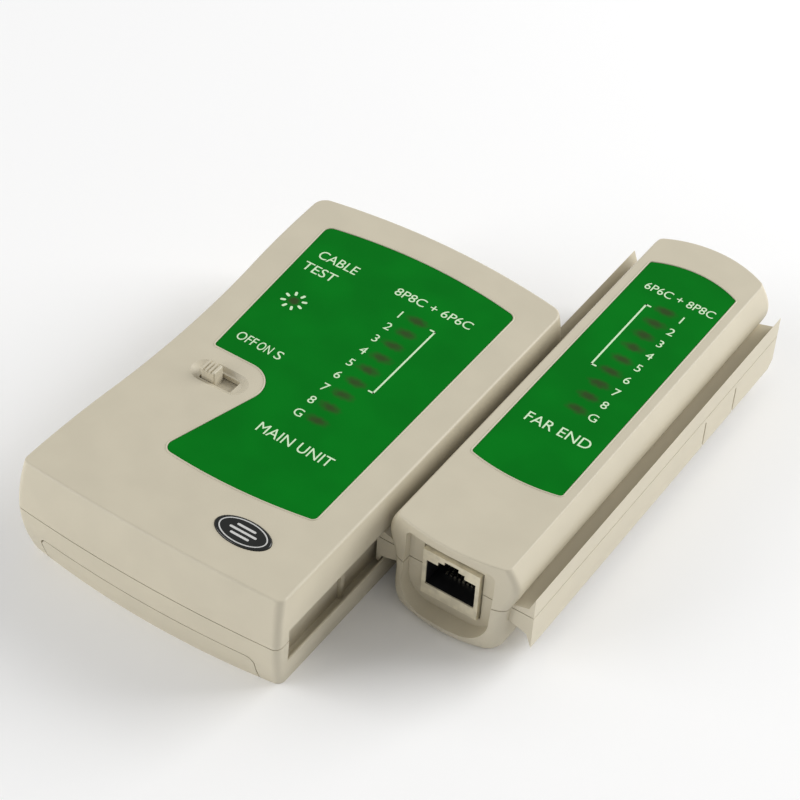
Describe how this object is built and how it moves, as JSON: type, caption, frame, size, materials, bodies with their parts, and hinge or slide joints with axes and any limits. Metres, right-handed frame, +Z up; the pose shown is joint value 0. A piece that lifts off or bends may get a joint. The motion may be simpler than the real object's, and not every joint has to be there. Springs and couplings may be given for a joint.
{
  "type": "network cable tester",
  "caption": "Two-unit network cable tester: a handheld main unit with lamps, slide switch and modular jacks, and a smaller remote unit hung by a dovetail wing in its side slot.",
  "frame": {"origin": "under the middle of the whole object as pictured, on the surface that it lies on", "axes": "+Z up out of the labels, +Y towards the ends with the main unit's jacks, +X from the main unit towards the remote unit"},
  "size_m": [0.1028, 0.1477, 0.0279],
  "materials": {
    "case_plastic": "moulded ABS, fine matt texture, warm beige",
    "jack_plastic": "moulded black plastic",
    "shield_metal": "formed sheet, dull nickel plate",
    "contact_metal": "gold-plated spring wire",
    "label_film": "green overlay film with a smooth gloss",
    "lamp_plastic": "dark red diffused lens",
    "badge_plastic": "gloss black, lightly domed",
    "board": "fibreglass board with green solder mask",
    "component_black": "moulded black plastic",
    "resistor_body": "lacquered carbon film",
    "capacitor_can": "blue sleeve",
    "battery_jacket": "painted steel jacket",
    "lead_jacket": "flexible insulation",
    "switch_metal": "tinned steel",
    "screw_steel": "zinc-plated steel"
  },
  "bodies": {
    "main_unit": {"main_top_shell": "case_plastic", "main_bottom_shell": "case_plastic", "main_rj45_housing": "jack_plastic", "main_rj11_housing": "jack_plastic", "main_rj45_shield": "shield_metal", "main_rj45_contacts": "contact_metal", "main_rj11_contacts": "contact_metal", "main_label": "label_film", "main_lamps": "lamp_plastic", "power_lamp": "lamp_plastic", "main_badge": "badge_plastic", "main_board": "board", "timer_chip": "component_black", "counter_chip": "component_black", "battery_snap": "component_black", "resistors": "resistor_body", "capacitors": "capacitor_can", "battery": "battery_jacket", "battery_leads": "lead_jacket", "switch_can": "switch_metal", "switch_terminals": "switch_metal", "main_case_screws": "screw_steel", "main_board_screws": "screw_steel"},
    "remote_unit": {"remote_top_shell": "case_plastic", "remote_bottom_shell": "case_plastic", "remote_rj45_housing": "jack_plastic", "remote_rj11_housing": "jack_plastic", "remote_rj45_shield": "shield_metal", "remote_rj45_contacts": "contact_metal", "remote_rj11_contacts": "contact_metal", "remote_label": "label_film", "remote_lamps": "lamp_plastic", "remote_board": "board", "remote_diodes": "component_black", "remote_case_screws": "screw_steel", "remote_board_screws": "screw_steel"},
    "knob": {"switch_knob": "case_plastic"},
    "door": {"battery_door": "case_plastic"}
  },
  "joints": [
    {"name": "remote_slide", "type": "slide", "parent": "main_unit", "child": "remote_unit", "axis": [0, 1, 0], "range_m": [-0.0333, 0.075]},
    {"name": "power_switch_slide", "type": "slide", "parent": "main_unit", "child": "knob", "axis": [1, 0, 0], "range_m": [0, 0.004]},
    {"name": "battery_door_slide", "type": "slide", "parent": "main_unit", "child": "door", "axis": [0, -1, 0], "range_m": [0, 0.038]}
  ]
}
